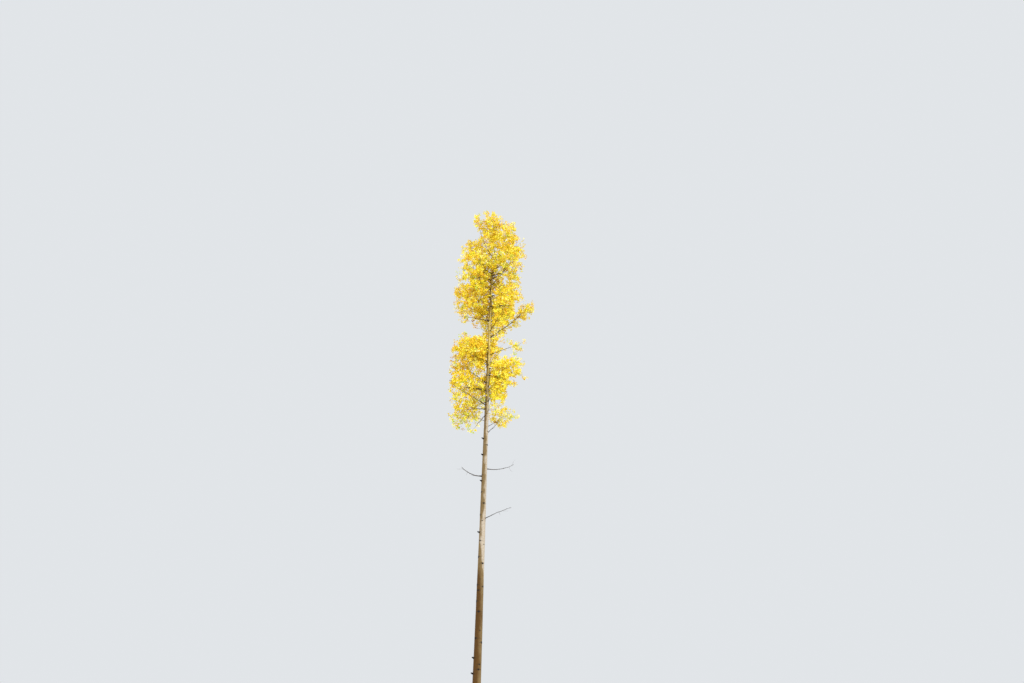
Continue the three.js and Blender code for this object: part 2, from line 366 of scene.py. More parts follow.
# Autumn tints, dealt out by spray: the share of each and its colour. Then the masses that have more of some
TINTS = {
    "gold": (0.20, (0.90, 0.63, 0.016)),
    "yellow": (0.40, (0.93, 0.75, 0.024)),
    "lemon": (0.20, (0.92, 0.82, 0.085)),
    "pale": (0.08, (0.93, 0.85, 0.260)),
    "amber": (0.05, (0.84, 0.49, 0.014)),
    "lime": (0.05, (0.62, 0.70, 0.055)),
    "russet": (0.02, (0.58, 0.31, 0.020)),
}
MORE_TINTS = [
    (("gold_left", "full_left", "near_2"), {"gold": 0.24, "amber": 0.06}),
    (("last_left", "last_right", "thin_right", "top_outer"), {"pale": 0.20, "lime": 0.10}),
]
LEAF_FINISH = (0.5, 0.35)
BUMP_STRENGTH = 0.5
TWIG_LOOKS = {"twig_old": ((0.048, 0.033, 0.020), 0.7), "twig_young": ((0.11, 0.066, 0.032), 0.6)}
DEAD_LOOKS = {
    "dead_wood": ((0.018, 0.013, 0.010), (0.085, 0.064, 0.049)),
    "stub": ((0.007, 0.005, 0.004), (0.034, 0.026, 0.021)),
}

# Leaves and twigs are joined in these bands, by where each begins
BANDS = {"lower": 0.0, "middle": 12.2, "upper": 14.2, "high": 16.0, "top": 17.4}

# The stage: a wide pale floor that meets an even pale sky
FLOOR_RADIUS = 400.0
FLOOR_SIDES = 96
FLOOR_LOOK = ((0.449, 0.463, 0.484), 0.95, 0.0)
SKY_COLOUR = (0.84, 0.87, 0.90)
SKY_STRENGTH = 0.9

# Lights: the way to each, its strength, how many degrees wide it looks, and its colour
LIGHTS = {
    "key": ((0.78, -0.40, 0.54), 2.88, 14, (1.0, 0.97, 0.90)),
    "fill": ((-0.55, -0.75, 0.35), 2.38, 60, (1.0, 0.99, 0.96)),
    "back": ((-0.35, 0.80, 0.45), 1.2, 60, (1.0, 0.99, 0.96)),
}


# Where things are on the trunk

def trunk_centre(height):
    height = np.asarray(height, float)
    kink = KINK * np.exp(-(((height - KINK_HEIGHT) / KINK_SPREAD) ** 2))
    sway = SWAY * np.sin(2 * np.pi * height / SWAY_LENGTH)
    return np.stack([LEAN * height + kink, sway, height], -1)


def trunk_radius(height):
    share = np.maximum(0, 1 - np.asarray(height, float) / TRUNK_TIP)
    return np.maximum(TIP_RADIUS, TRUNK_RADIUS * share**TAPER_POWER)


def flare_at(height, angle):
    lobe = 1 + LOBE_DEPTH * np.cos(FLARE_LOBES * angle)
    return FLARE * np.exp(-height / FLARE_HEIGHT) * lobe


def heading_way(heading):
    angle = math.radians(heading)
    return np.array([math.cos(angle), math.sin(angle), 0.0])


# Small tools for vectors and curves

def unit(vectors):
    return vectors / np.maximum(norm(vectors, axis=-1, keepdims=True), 1e-9)


def dot(a, b):
    return (a * b).sum(-1, keepdims=True)


def distances(places, others):
    """How far each place is from each of the others."""
    return norm(places[:, None] - others[None], axis=2)


def angles_round(sides):
    return np.arange(sides) * 2 * np.pi / sides


def quadratic(start, bend, end, t):
    t = t[:, None]
    return (1 - t) ** 2 * start + 2 * t * (1 - t) * bend + t**2 * end


def cubic(p, t):
    """Points of cubic curves p (..., 4, 3) at shares t of their way (..., n)."""
    t = t[..., None]
    p0, p1, p2, p3 = (p[..., None, k, :] for k in range(4))
    return (1 - t) ** 3 * p0 + 3 * t * (1 - t) ** 2 * p1 + 3 * t**2 * (1 - t) * p2 + t**3 * p3


def cubic_way(p, t):
    t = t[..., None]
    p0, p1, p2, p3 = (p[..., None, k, :] for k in range(4))
    return unit((1 - t) ** 2 * (p1 - p0) + 2 * t * (1 - t) * (p2 - p1) + t**2 * (p3 - p2))


def distance_along(points):
    """How far along its line each point lies."""
    return np.r_[0, np.cumsum(norm(np.diff(points, axis=0), axis=1))]


def evenly(points, step):
    """The same line with points an even step apart."""
    length = distance_along(points)
    at = np.linspace(0, length[-1], round(length[-1] / step) + 1)
    return np.stack([np.interp(at, length, points[:, k]) for k in range(3)], 1)


def ways_along(points):
    return unit(np.gradient(points, axis=0))


def seen_at(points):
    """Where the photograph's camera sees these points, in pixels."""
    tilt = math.radians(CAMERA_TILT)
    ahead = np.array([0, math.cos(tilt), math.sin(tilt)])
    above = np.array([0, -math.sin(tilt), math.cos(tilt)])
    away = points - CAMERA_PLACE
    pixels = LENS / SENSOR * IMAGE_WIDTH / (away @ ahead)
    return np.stack([IMAGE_WIDTH / 2 + pixels * away[:, 0], IMAGE_HEIGHT / 2 - pixels * (away @ above)], 1)


# Meshes

def placed(name, data):
    """A new object in the scene."""
    made = bpy.data.objects.new(name, data)
    bpy.context.scene.collection.objects.link(made)
    return made


class Heap:
    """Vertices, faces and material numbers of many small shapes, joined into one mesh."""

    def __init__(self):
        self.places, self.corners, self.sizes, self.slots = [], [], [], []
        self.count, self.first = 0, None

    def add(self, shapes, faces, slots=0):
        """Adds shapes (n, points, 3) that have the same faces (m, k), numbered within one shape."""
        many, size = shapes.shape[:2]
        self.first = self.count + np.arange(many) * size
        self.places.append(shapes.reshape(-1, 3).astype(np.float32))
        self.count += many * size
        self.more_faces(faces, slots)

    def more_faces(self, faces, slots=0):
        """Adds more faces to the shapes that were added last."""
        corners = (faces + self.first[:, None, None]).astype(np.int32)
        self.corners.append(corners.ravel())
        self.sizes.append(np.full(corners[..., 0].size, corners.shape[2], np.int32))
        slots = np.broadcast_to(slots, len(self.first))
        self.slots.append(np.repeat(slots, len(faces)).astype(np.int32))

    def piece(self, name, materials, smooth=True):
        lists = self.places, self.corners, self.sizes, self.slots
        places, corners, sizes, slots = map(np.concatenate, lists)
        mesh = bpy.data.meshes.new(name)
        mesh.vertices.add(len(places))
        mesh.vertices.foreach_set("co", places.ravel())
        mesh.loops.add(len(corners))
        mesh.loops.foreach_set("vertex_index", corners)
        mesh.polygons.add(len(sizes))
        mesh.polygons.foreach_set("loop_start", np.cumsum(sizes) - sizes)
        mesh.polygons.foreach_set("material_index", slots)
        mesh.polygons.foreach_set("use_smooth", np.full(len(sizes), smooth))
        for material in materials:
            mesh.materials.append(material)
        mesh.update(calc_edges=True)
        return placed(name, mesh)


def ring_faces(rings, sides):
    """Quads between rings of one tube, whose points are numbered ring by ring."""
    ring, side = np.indices((rings - 1, sides))
    here, turned = ring * sides + side, ring * sides + (side + 1) % sides
    return np.stack([here, turned, turned + sides, here + sides], -1).reshape(-1, 4)


def cap_faces(ring, point):
    """Triangles from the points of a ring to one point."""
    return np.stack([ring, np.roll(ring, -1), np.full(len(ring), point)], -1)


def add_tubes(heap, lines, radii, sides, slots=0):
    """Many tapering tubes with the same number of rings: lines (n, rings, 3) and radii (n, rings). Each ends
    in a point past its last ring."""
    count, rings = radii.shape
    way = unit(np.gradient(lines, axis=1))
    chord = unit(lines[:, -1] - lines[:, 0])
    helper = np.where(np.abs(chord[:, 2:]) > NEARLY_UPRIGHT, np.array([[1.0, 0, 0]]), UP)
    across = unit(np.cross(way, helper[:, None]))
    through = np.cross(way, across)
    angle = angles_round(sides)
    spread = across[:, :, None] * np.cos(angle)[:, None] + through[:, :, None] * np.sin(angle)[:, None]
    rims = lines[:, :, None] + spread * radii[:, :, None, None]
    tips = lines[:, -1] + way[:, -1] * radii[:, -1:] * TUBE_POINT
    places = np.concatenate([rims.reshape(count, -1, 3), tips[:, None]], 1)
    heap.add(places, ring_faces(rings, sides), slots)
    heap.more_faces(cap_faces((rings - 1) * sides + np.arange(sides), rings * sides), slots)


# Materials

class Shading:
    """Builds a material's nodes."""

    def __init__(self, name, roughness=0.7, specular=0.3):
        self.material = bpy.data.materials.new(name)
        self.material.use_nodes = True
        self.tree = self.material.node_tree
        self.shader = next(n for n in self.tree.nodes if n.type == "BSDF_PRINCIPLED")
        self.shader.inputs["Roughness"].default_value = roughness
        self.shader.inputs["Specular IOR Level"].default_value = specular

    def node(self, kind, values=(), **settings):
        made = self.tree.nodes.new("ShaderNode" + kind)
        for name, value in settings.items():
            setattr(made, name, value)
        for key, value in dict(values).items():
            if isinstance(value, bpy.types.NodeSocket):
                self.tree.links.new(value, made.inputs[key])
            else:
                made.inputs[key].default_value = value
        return made

    def attribute(self, name):
        return self.node("Attribute", attribute_name=name).outputs["Fac"]

    def math(self, operation, a, b=0.0):
        return self.node("Math", {0: a, 1: b}, operation=operation).outputs[0]

    def plus(self, a, b):
        return self.math("ADD", a, b)

    def minus(self, a, b):
        return self.math("SUBTRACT", a, b)

    def times(self, a, b):
        return self.math("MULTIPLY", a, b)

    def within(self, value, low, high):
        """1 below low and 0 above high, with a soft step between."""
        values = {0: value, 1: low, 2: high, 3: 1.0, 4: 0.0}
        return self.node("MapRange", values, interpolation_type="SMOOTHSTEP").outputs[0]

    def beyond(self, value, low, high):
        """0 below low and 1 above high, with a soft step between."""
        return self.minus(1.0, self.within(value, low, high))

    def noise(self, scale, detail=3.0):
        where = self.node("TexCoord").outputs["Object"]
        scaled = self.node("Mapping", {"Vector": where, "Scale": scale}).outputs[0]
        return self.node("TexNoise", {"Vector": scaled, "Scale": 1.0, "Detail": detail}).outputs["Fac"]

    def mix(self, share, a, b, blend="MIX"):
        a, b = ((*c, 1) if isinstance(c, tuple) else c for c in (a, b))
        return self.node("Mix", {0: share, 6: a, 7: b}, data_type="RGBA", blend_type=blend).outputs[2]

    def finish(self, colour, height, depth=0.001):
        bump = self.node("Bump", {"Height": height, "Distance": depth, "Strength": BUMP_STRENGTH})
        self.tree.links.new(colour, self.shader.inputs["Base Color"])
        self.tree.links.new(bump.outputs[0], self.shader.inputs["Normal"])
        return self.material


def scar_mask(s):
    """Where scars are black: a ragged eye, and a brow that hangs down on both sides of it."""
    side, above, near = (s.attribute(name) for name in ("scar_side", "scar_above", "scar_near"))
    ragged = s.times(s.minus(s.noise((60, 60, 90)), 0.5), 0.9)
    place = s.node("CombineXYZ", {0: side, 1: above}).outputs[0]
    off = s.node("VectorMath", {0: place}, operation="LENGTH").outputs["Value"]
    eye = s.within(s.plus(off, ragged), 0.75, 1.1)
    aside = s.math("ABSOLUTE", side)
    off_brow = s.math("ABSOLUTE", s.minus(s.plus(above, s.times(aside, BROW_DROP)), BROW_RISE))
    brow = s.within(s.plus(off_brow, s.times(ragged, 0.6)), 0.10, 0.42)
    brow = s.times(brow, s.within(aside, 1.7, 2.8))
    return s.times(s.math("MAXIMUM", eye, s.times(brow, 0.85)), near)


def furrow_mask(s):
    """The upright cracks of the foot."""
    course = s.minus(s.noise((46, 46, 2.6), 2.0), s.times(s.noise((60, 60, 60), 2.0), 0.12))
    return s.within(s.math("ABSOLUTE", s.minus(course, 0.44)), 0.008, 0.065)


def bark_material():
    """Cream bark kept a little dark as painted shade; tan and brown by height, partly its own tone and
    partly painted shade, and browner as painted shade on its shaded side; yellowish at the top, partly young
    bark and partly painted reflection of the leaves; with level dashes, black scars and a furrowed grey
    foot."""
    s = Shading("bark", roughness=0.75, specular=0.12)
    # Cream kept a little dark as painted shade. The yellowish top is partly young bark and partly painted
    # reflection of the yellow leaves
    young = s.attribute("young")
    cream = s.mix(young, (0.42, 0.355, 0.275), (0.62, 0.50, 0.17))
    tan = s.mix(young, (0.185, 0.125, 0.055), (0.30, 0.205, 0.034))
    brown, grey, black = (0.088, 0.042, 0.010), (0.10, 0.066, 0.034), (0.020, 0.015, 0.012)
    cloud = s.noise((1.7, 1.7, 0.8), 4.0)
    patch = s.noise((7, 7, 3))
    uneven = s.minus(s.times(s.plus(cloud, patch), 0.5), 0.5)
    # Random tone plus painted shade and brown by height pick cream, tan or brown
    tone_and_painted_shade = s.plus(uneven, s.attribute("shaded"))
    colour = s.mix(s.within(tone_and_painted_shade, 0.38, 0.52), tan, cream)
    colour = s.mix(s.within(tone_and_painted_shade, 0.55, 0.90), brown, colour)
    dash = s.beyond(s.noise((13, 13, 170), 2.0), 0.60, 0.68)
    colour = s.mix(s.times(dash, 0.7), colour, (0.55, 0.47, 0.38), "MULTIPLY")
    band = s.beyond(s.noise((2.2, 2.2, 46)), 0.56, 0.74)
    colour = s.mix(s.times(band, 0.7), colour, (0.66, 0.58, 0.50), "MULTIPLY")
    dust = s.beyond(s.noise((24, 24, 60), 4.0), 0.50, 0.72)
    colour = s.mix(s.times(dust, 0.6), colour, (1.45, 1.48, 1.50), "MULTIPLY")
    rough = s.beyond(s.plus(s.attribute("foot"), s.times(uneven, 1.6)), 0.30, 0.95)
    crack = furrow_mask(s)
    foot = s.mix(crack, grey, (0.038, 0.028, 0.020))
    colour = s.mix(s.times(rough, 0.85), colour, foot)
    colour = s.mix(scar_mask(s), colour, black)
    height = s.minus(s.times(dust, 0.4), s.times(s.times(crack, rough), 2.0))
    height = s.plus(height, s.times(s.math("MAXIMUM", dash, band), 0.5))
    return s.finish(colour, height, depth=0.003)


def bough_material():
    """Grey-brown bark of the boughs, paler in places, with level rings."""
    s = Shading("bough_bark", roughness=0.75, specular=0.2)
    colour = s.mix(s.noise((9, 9, 9)), (0.040, 0.028, 0.017), (0.130, 0.094, 0.058))
    rings = s.beyond(s.noise((30, 30, 120), 2.0), 0.5, 0.62)
    colour = s.mix(s.times(rings, 0.5), colour, (0.035, 0.024, 0.017))
    return s.finish(colour, s.noise((150, 150, 220)))


def dead_material(name, dark, light):
    """Weathered wood of the dead limbs and stubs."""
    s = Shading(name, roughness=0.85, specular=0.1)
    colour = s.mix(s.noise((22, 22, 22)), dark, light)
    return s.finish(colour, s.noise((90, 90, 90)))


def plain_material(name, colour, roughness=0.5, specular=0.3):
    s = Shading(name, roughness, specular)
    s.shader.inputs["Base Color"].default_value = (*colour, 1)
    return s.material


# The trunk's bark

def scar_list(rng, feet):
    """Height, heading, half width and depth of each scar, and of the swollen ring round each limb's foot."""
    scars = []
    for height, heading in SEEN_SCARS:
        scars.append((height, math.radians(heading), rng.uniform(*SEEN_SCAR_HALF), SEEN_SCAR_DEPTH))
    height, angle = LOWEST_SCAR, 0.0
    while height < HIGHEST_SCAR:
        angle += GOLDEN_ANGLE + rng.normal(0, SCAR_TURN_SPREAD)
        if min(abs(height - scar[0]) for scar in scars) > SCAR_GAP / 2:
            size = rng.uniform(*SCAR_HALF) * (1 - SCAR_SHRINK * height / TRUNK_TIP)
            scars.append((height, angle, size, rng.uniform(*SCAR_DEPTH)))
        height += SCAR_GAP + rng.uniform(0, SCAR_GAP_SPREAD)
    for (foot, heading, reach, rise), thick in feet:
        outside = foot + rise / reach * trunk_radius(foot)
        scars.append((outside, math.radians(heading), min(FOOT_SCAR * thick, FOOT_SCAR_MOST), -FOOT_SWELL))
    return scars


def ring_heights(scars):
    """The heights of the bark's rings, which lie closer together at each scar."""
    heights = set(np.arange(0, TRUNK_TIP, BARK_STEP).round(4))
    for scar in scars:
        heights.update((scar[0] + np.arange(-SCAR_SPAN, SCAR_SPAN, SCAR_STEP)).round(3))
    heights = np.array(sorted(h for h in heights if 0 <= h < TRUNK_TIP))
    return heights[np.r_[True, np.diff(heights) > SCAR_STEP / 2]]


def carve_scars(scars, heights, turn, z, radius, relief):
    """Carves the scars into the relief. Returns where each point lies in its nearest scar, to the side and
    above its middle in half widths, and how far off."""
    side, above = np.full(z.shape, NO_SCAR), np.full(z.shape, NO_SCAR)
    nearest = np.full(z.shape, np.inf)
    for height, angle, half, depth in scars:
        rows = slice(*np.searchsorted(heights, (height - SCAR_REACH * half, height + SCAR_REACH * half)))
        u = ((turn[rows] - angle + np.pi) % (2 * np.pi) - np.pi) * radius[rows] / half
        v = (z[rows] - height) / (SCAR_FLAT * half)
        off = np.hypot(u, v)
        rim = np.exp(-(((off - RIM_PLACE) / RIM_WIDTH) ** 2))
        hollow = np.exp(-((off / HOLLOW_WIDTH) ** 2))
        off_brow = v + BROW_DROP * np.abs(u) - BROW_RISE
        brow = np.exp(-((off_brow / BROW_WIDTH) ** 2)) * (np.abs(u) < BROW_REACH)
        relief[rows] += abs(depth) * RIM_SHARE * rim - depth * hollow + BROW_HEIGHT * brow
        far = np.hypot(u / SCAR_WIDER, v)
        closer = far < nearest[rows]
        for kept, value in ((side, u), (above, v), (nearest, far)):
            kept[rows] = np.where(closer, value, kept[rows])
    return side, above, nearest


def trunk_mesh(rng, feet):
    """The trunk's bark with its relief, and what its material needs to know at each point."""
    scars = scar_list(rng, feet)
    heights = ring_heights(scars)
    rings = len(heights)
    z, turn = np.meshgrid(heights, angles_round(BARK_SIDES), indexing="ij")
    around = np.stack([np.cos(turn), np.sin(turn)], -1)
    radius = trunk_radius(z)
    foot = np.exp(-z / ROUGH_FOOT)
    relief = radius * sum(size * np.sin(n * turn + rate * z + at) for size, n, rate, at in OUT_OF_ROUND)
    low = heights[heights < RIDGES_TOP]
    wide, tall = RIDGE_SCALE
    ridges = [[noise.noise(Vector((wide * c, wide * s, tall * h))) for c, s in around[0]] for h in low]
    relief[: len(low)] += RIDGE_DEPTH * np.array(ridges) * foot[: len(low)]
    side, above, nearest = carve_scars(scars, heights, turn, z, radius, relief)
    places = trunk_centre(z)
    places[..., :2] += around * (radius + flare_at(z, turn) + relief)[..., None]
    heap = Heap()
    ends = [trunk_centre(0.0), trunk_centre(TRUNK_TIP)]
    heap.add(np.concatenate([places.reshape(-1, 3), ends])[None], ring_faces(rings, BARK_SIDES))
    lowest, bottom = np.arange(BARK_SIDES), rings * BARK_SIDES
    heap.more_faces(cap_faces(lowest, bottom)[:, [1, 0, 2]])
    heap.more_faces(cap_faces(lowest + bottom - BARK_SIDES, bottom + 1))
    made = heap.piece("trunk_bark", [bark_material()])
    # Painted shade: browner towards the shaded side, and by height partly own tone and partly painted shade
    facing = 0.5 + 0.5 * np.cos(turn - math.radians(PAINTED_SHADE_HEADING))
    levels, lit, more = zip(*BROWN_AND_PAINTED_SHADE_BY_HEIGHT)
    fields = {
        "shaded": np.interp(z, levels, lit) + np.interp(z, levels, more) * facing**PAINTED_SHADE_POWER,
        "young": np.clip((z - YOUNG_AND_PAINTED_REFLECTION[0]) / (YOUNG_AND_PAINTED_REFLECTION[1] - YOUNG_AND_PAINTED_REFLECTION[0]), 0, 1),
        "foot": foot,
        "scar_side": side,
        "scar_above": above,
        "scar_near": np.clip((SCAR_REACH - nearest) / SCAR_FADE, 0, 1),
    }
    for name, values in fields.items():
        kept = made.data.attributes.new(name, "FLOAT", "POINT")
        values = values.ravel()
        kept.data.foreach_set("value", np.r_[values, values[[0, -1]]].astype(np.float32))
    lay_out(made, heights)
    return made


def lay_out(made, heights):
    """The map for baking: the bark cut into level lengths, laid side by side as upright strips."""
    ring, side = np.indices((len(heights) - 1, BARK_SIDES))
    lower, upper = heights[ring], heights[ring + 1]
    strip = np.minimum((lower / TRUNK_TIP * BAKE_STRIPS).astype(int), BAKE_STRIPS - 1)
    floor = strip * TRUNK_TIP / BAKE_STRIPS
    tall = TRUNK_TIP / BAKE_STRIPS + BARK_STEP
    edge = BAKE_MARGIN * BAKE_STRIPS
    inner = 1 - 2 * edge
    across = [side, side + 1, side + 1, side]
    u = [(strip + edge + a / BARK_SIDES * inner) / BAKE_STRIPS for a in across]
    v = [BAKE_MARGIN + (h - floor) / tall * (1 - 2 * BAKE_MARGIN) for h in (lower, lower, upper, upper)]
    uv = np.stack([np.stack(u, -1), np.stack(v, -1)], -1).reshape(-1, 2)
    ends = np.tile(BAKE_END, (2 * BARK_SIDES, 1))
    layer = made.data.uv_layers.new(name="OFBake")
    layer.data.foreach_set("uv", np.concatenate([uv, ends]).astype(np.float32).ravel())


# Limbs and the branching rule

def bough_line(foot, heading, reach, rise, level=False):
    """Many points of a bough's curve, from the trunk's middle to the middle of its leaves. A level one sags
    before it turns up."""
    start = trunk_centre(foot)
    outward = heading_way(heading)
    steep = min(max(rise / reach - STEEP_ABOVE, 0), 1)
    out = LEVEL_OUTWARD if level else BEND_SHARE + STEEP_OUTWARD * steep
    arch = rise * (BEND_SHARE - STEEP_LOWER * steep) + ARCH_SHARE * reach
    bend = start + outward * reach * out + UP * (-LEVEL_SAG * reach if level else arch)
    return quadratic(start, bend, start + outward * reach + UP * rise, np.linspace(0, 1, BOUGH_POINTS))


def mass_surface(node):
    """The places and triangles of a CAD node."""
    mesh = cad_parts[node].data
    mesh.calc_loop_triangles()
    return [v.co.copy() for v in mesh.vertices], [tuple(t.vertices) for t in mesh.loop_triangles]


def mass_volume(node):
    places, corners = (np.array(values) for values in mass_surface(node))
    a, b, c = (places[corners[:, k]] for k in range(3))
    return abs((a * np.cross(b, c)).sum() / 6)


def depth_in(tree, point):
    """How deep a point is under the surface, or less than 0 outside it."""
    where, normal, _, distance = tree.find_nearest(Vector(point))
    return distance if (Vector(point) - where).dot(normal) < 0 else -distance


def seen_wood():
    """What the photograph shows in front of the leaves, as points in pixels, with how far back each lies and
    how wide a gap it needs: the trunk and some limbs."""
    trunk = trunk_centre(np.arange(*SEEN_TRUNK))
    rows = [*SEEN_LIMBS, *(FRONT_BOUGHS[name][:4] for name in SEEN_BOUGHS)]
    shown = slice(0, round(BOUGH_POINTS * SEEN_LIMB_SHARE), SEEN_LIMB_EVERY)
    limbs = np.concatenate([bough_line(*row)[shown] for row in rows])
    points = np.concatenate([trunk, limbs])
    gaps = np.r_[np.full(len(trunk), SEEN_TRUNK_GAP), np.full(len(limbs), SEEN_LIMB_GAP)]
    return np.c_[seen_at(points), points[:, 1], gaps]


def hides_wood(point, pixel, wood):
    off = np.hypot(wood[:, 0] - pixel[0], wood[:, 1] - pixel[1])
    return ((off < wood[:, 3]) & (point[1] < wood[:, 2])).any()


def in_box(places, margin):
    """Whether each place is in the CAD model's box with this margin round it."""
    low, high = np.array(cad_box)
    return ((places > low - margin) & (places < high + margin)).all(-1)


def clear_of_sky(places):
    """Whether each place is clear of the openings that show sky."""
    windows = np.array(SKY_WINDOWS)
    return (distances(seen_at(places), windows[:, :2]) > windows[:, 2]).all(1)


def spray_places(node, tree, axis, count, wood, rng):
    """Places for sprays of leaves in a mass and a little way out of it: in clumps, thinner deep inside and
    under the limb, apart from each other, and clear of the openings that show sky."""
    volume = mass_volume(node)
    feather = FEATHER * min(1, volume ** (1 / 3))
    low, high = np.array(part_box(node)) + [[-feather], [feather]]
    spacing = SPRAY_SPACING * (volume / count) ** (1 / 3)
    offset = Vector(rng.uniform(-CLUMP_SHIFT, CLUMP_SHIFT, 3))
    tries = rng.uniform(low, high, (count * TRIES, 3))
    tries = tries[clear_of_sky(tries) & in_box(tries, -BOX_INSET)]
    pixels = seen_at(tries)
    nearest = distances(tries, axis).argmin(1)
    under = axis[nearest, 2] - tries[:, 2] > UNDER_GAP
    kept = np.empty((count, 3))
    filled = 0
    for point, pixel, hidden, chance in zip(tries, pixels, under, rng.random(len(tries))):
        depth = depth_in(tree, point)
        if depth < -feather:
            continue
        clump = noise.noise(Vector(point) / CLUMP_SIZE + offset)
        share = min(max((clump - CLUMP_LEVEL) / CLUMP_EDGE + 0.5, 0), 1)
        share *= math.exp(min(depth, 0) / (FEATHER_FALL * feather))
        share *= INNER_SHARE if depth > INNER_DEPTH else 1
        share *= UNDER_SHARE if hidden else 1
        if chance > share or (norm(kept[:filled] - point, axis=1) < spacing).any():
            continue
        if hides_wood(point, pixel, wood):
            continue
        kept[filled] = point
        filled += 1
        if filled == count:
            break
    return kept[:filled]


def far_places(places, off, count):
    """Places that lie far from the axis, by how far they are off it, and from each other."""
    chosen = []
    for _ in range(min(count, len(places))):
        chosen.append(off.argmax())
        off = np.minimum(off, norm(places - places[chosen[-1]], axis=1))
    return chosen


def grow(axis, axis_ways, axis_radii, places, rng):
    """Joins every place to the growth so far, by the cheapest short curve that leaves in the direction of
    growth and does not droop. Returns the curves and their radii at both ends."""
    owner, share = [-1] * len(axis), list(axis_radii)
    curves, parents, at = [], [], []
    off = distances(places, axis).min(1)
    far = far_places(places, off, max(LEAST_BRANCHES, len(places) // SPRAYS_PER_BRANCH))
    rest = [k for k in np.argsort(off) if k not in far]
    space = np.zeros((len(axis) + PATH_STEPS * len(places), 3))
    facing = np.zeros_like(space)
    filled = len(axis)
    space[:filled], facing[:filled] = axis, axis_ways
    steps = np.arange(1, PATH_STEPS + 1) / PATH_STEPS
    for k in [*far, *rest]:
        gap = places[k] - space[:filled]
        length = norm(gap, axis=1) + 1e-6
        ahead = (gap * facing[:filled]).sum(1) / length
        cost = length * (1 + TURN_COST * (1 - ahead) + DROOP_COST * np.maximum(0, -gap[:, 2] / length))
        best = cost.argmin()
        start, chord, size = space[best].copy(), gap[best] / length[best], length[best]
        leave = unit(facing[best] * LEAVE_ALONG + chord + rng.normal(0, LEAVE_SPREAD, 3))
        arrive = unit(chord + UP * ARRIVE_UP + rng.normal(0, ARRIVE_SPREAD, 3))
        bends = start + leave * size * START_SHARE, places[k] - arrive * size * END_SHARE
        curve = np.array([start, *bends, places[k]])
        curves.append(curve)
        parents.append(owner[best])
        at.append(share[best])
        space[filled : filled + PATH_STEPS] = cubic(curve, steps)
        facing[filled : filled + PATH_STEPS] = cubic_way(curve, steps)
        owner.extend([len(curves) - 1] * PATH_STEPS)
        share.extend(steps)
        filled += PATH_STEPS
    return np.array(curves), *twig_radii(parents, at)


def twig_radii(parents, at):
    """Radii at both ends of each twig, by how many twigs it carries and what it grows from: its parent, at a
    share of the parent's way, or, where the parent is -1, the limb, whose radius at then holds."""
    carried = np.ones(len(parents))
    for k in range(len(parents) - 1, -1, -1):
        if parents[k] >= 0:
            carried[parents[k]] += carried[k]
    first, last = np.zeros(len(parents)), np.full(len(parents), TWIG_END)
    for k, parent in enumerate(parents):
        held = at[k] if parent < 0 else first[parent] + (last[parent] - first[parent]) * at[k]
        most = max(TWIG_TO_PARENT * held, TWIG_END * TWIG_LEAST)
        first[k] = min(TWIG_RADIUS * carried[k] ** PIPE_POWER, most)
    return first, last


def crooked(line, rng, size):
    """A line with small bends that die away at its ends."""
    share = np.linspace(0, 1, len(line))
    ways = ways_along(line)
    across = unit(np.cross(ways, UP) + 1e-6)
    through = np.cross(ways, across)
    fade = np.sin(np.pi * share) ** CROOKED_FADE
    for way in (across, through):
        wave = sum(np.sin(2 * np.pi * (n * share + rng.random())) / n for n in CROOKED_WAVES)
        line = line + way * (size * fade * wave)[:, None]
    return line


def all_boughs():
    boughs = dict(FRONT_BOUGHS)
    for side, (middle, lowest, reach, turn, full) in SIDES.items():
        for level in range(SIDE_LEVELS):
            share = TOP_LEVEL_SHARE if level == SIDE_LEVELS - 1 else 1
            heading = middle + (turn if level % 2 else -turn)
            row = (lowest + LEVEL_STEP * level, heading, reach * share, SIDE_RISE, full)
            boughs[f"{side}_{level + 1}"] = row
    return boughs


def bough_radius(foot, length):
    full = max(BOUGH_RADIUS_LEAST, BOUGH_RADIUS_PER_LENGTH * length)
    return min(full, BOUGH_TO_TRUNK * trunk_radius(foot))


def limb_radii(line, last, rng):
    """The radius along a limb, as a share of that at its foot, with small swellings."""
    along = distance_along(line)
    one, other = (np.sin(along * wave + rng.random() * KNOT_PHASE) for wave in KNOT_WAVES)
    return (1 + (last - 1) * (along / along[-1])) * (1 + KNOT_SIZE * one * other)


def add_limb(heap, line, radii, foot):
    """One limb, whose foot widens where it leaves the trunk."""
    outside = np.maximum(0, distance_along(line) - trunk_radius(foot))
    collar = 1 + COLLAR * np.exp(-outside / COLLAR_LENGTH)
    add_tubes(heap, line[None], (radii * collar)[None], LIMB_SIDES)


def leafy_bough(tree, row, heap, rng):
    """Adds the limb of one mass, through it to its far end, and returns the part inside as the axis."""
    line = bough_line(*row)
    length = norm(np.diff(line, axis=0), axis=1).sum()
    first = bough_radius(row[0], length)
    way = unit(line[-1] - line[-2])
    onward = unit(way + UP * LEAF_UPTURN)
    room = tree.ray_cast(Vector(line[-1]), Vector(onward))[3] * TAIL_SHARE
    steps = np.linspace(0, 1, TAIL_POINTS)[1:]
    tail = quadratic(line[-1], line[-1] + way * room * BEND_SHARE, line[-1] + onward * room, steps)
    line = crooked(evenly(np.concatenate([line, tail]), LIMB_STEP), rng, LIMB_CROOKED)
    middle = length / (length + room)
    share = np.linspace(0, 1, len(line))
    at_middle = BOUGH_TIP_SHARE * first
    before = first + (at_middle - first) * share / middle
    beyond = at_middle + (LIMB_END - at_middle) * (share - middle) / (1 - middle)
    radii = np.where(share < middle, before, beyond) * limb_radii(line, 1, rng)
    add_limb(heap, line, radii, row[0])
    inside = np.array([depth_in(tree, p) > -AXIS_OUTSIDE for p in line])
    keep = np.nonzero(inside & (share > AXIS_START))[0][::AXIS_EVERY]
    return line[keep], ways_along(line)[keep], radii[keep]


